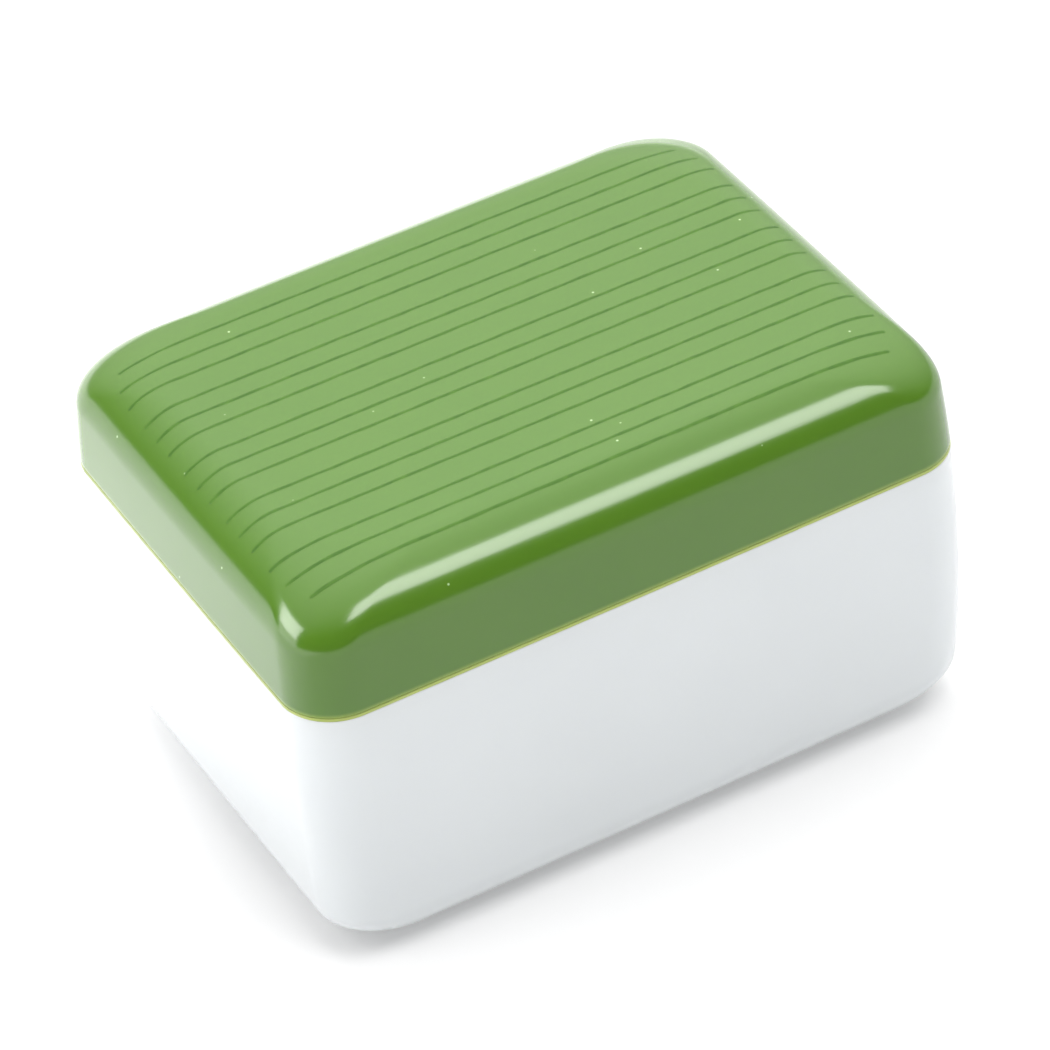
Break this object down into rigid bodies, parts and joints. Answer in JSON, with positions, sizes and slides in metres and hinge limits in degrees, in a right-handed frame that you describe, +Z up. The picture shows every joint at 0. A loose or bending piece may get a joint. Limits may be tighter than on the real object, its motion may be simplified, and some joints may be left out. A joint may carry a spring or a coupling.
{
  "type": "mahjong tile",
  "caption": "Two-tone mahjong tile lying on its face: glossy white block, glossy green back with fine painted lines, flush bonded seam and rolled edges.",
  "frame": {"origin": "centre of the underside, on the surface that the tile rests on", "axes": "+X along the tile's length, +Y along its width, +Z up from the face through the coloured back"},
  "size_m": [0.028, 0.021, 0.017],
  "materials": {
    "white_resin": "polished moulded melamine resin",
    "green_resin": "polished moulded melamine resin",
    "bond_adhesive": "cured clear adhesive tinted by the green resin",
    "line_paint": "enamel paint levelled in shallow grooves",
    "ferrite": "pressed and sintered, ground flat"
  },
  "bodies": {
    "root": {"face_block": "white_resin", "back_slab": "green_resin", "bond_film": "bond_adhesive", "magnet": "ferrite", "back_line_01": "line_paint", "back_line_02": "line_paint", "back_line_03": "line_paint", "back_line_04": "line_paint", "back_line_05": "line_paint", "back_line_06": "line_paint", "back_line_07": "line_paint", "back_line_08": "line_paint", "back_line_09": "line_paint", "back_line_10": "line_paint", "back_line_11": "line_paint", "back_line_12": "line_paint", "back_line_13": "line_paint", "back_line_14": "line_paint", "back_line_15": "line_paint"}
  },
  "joints": []
}
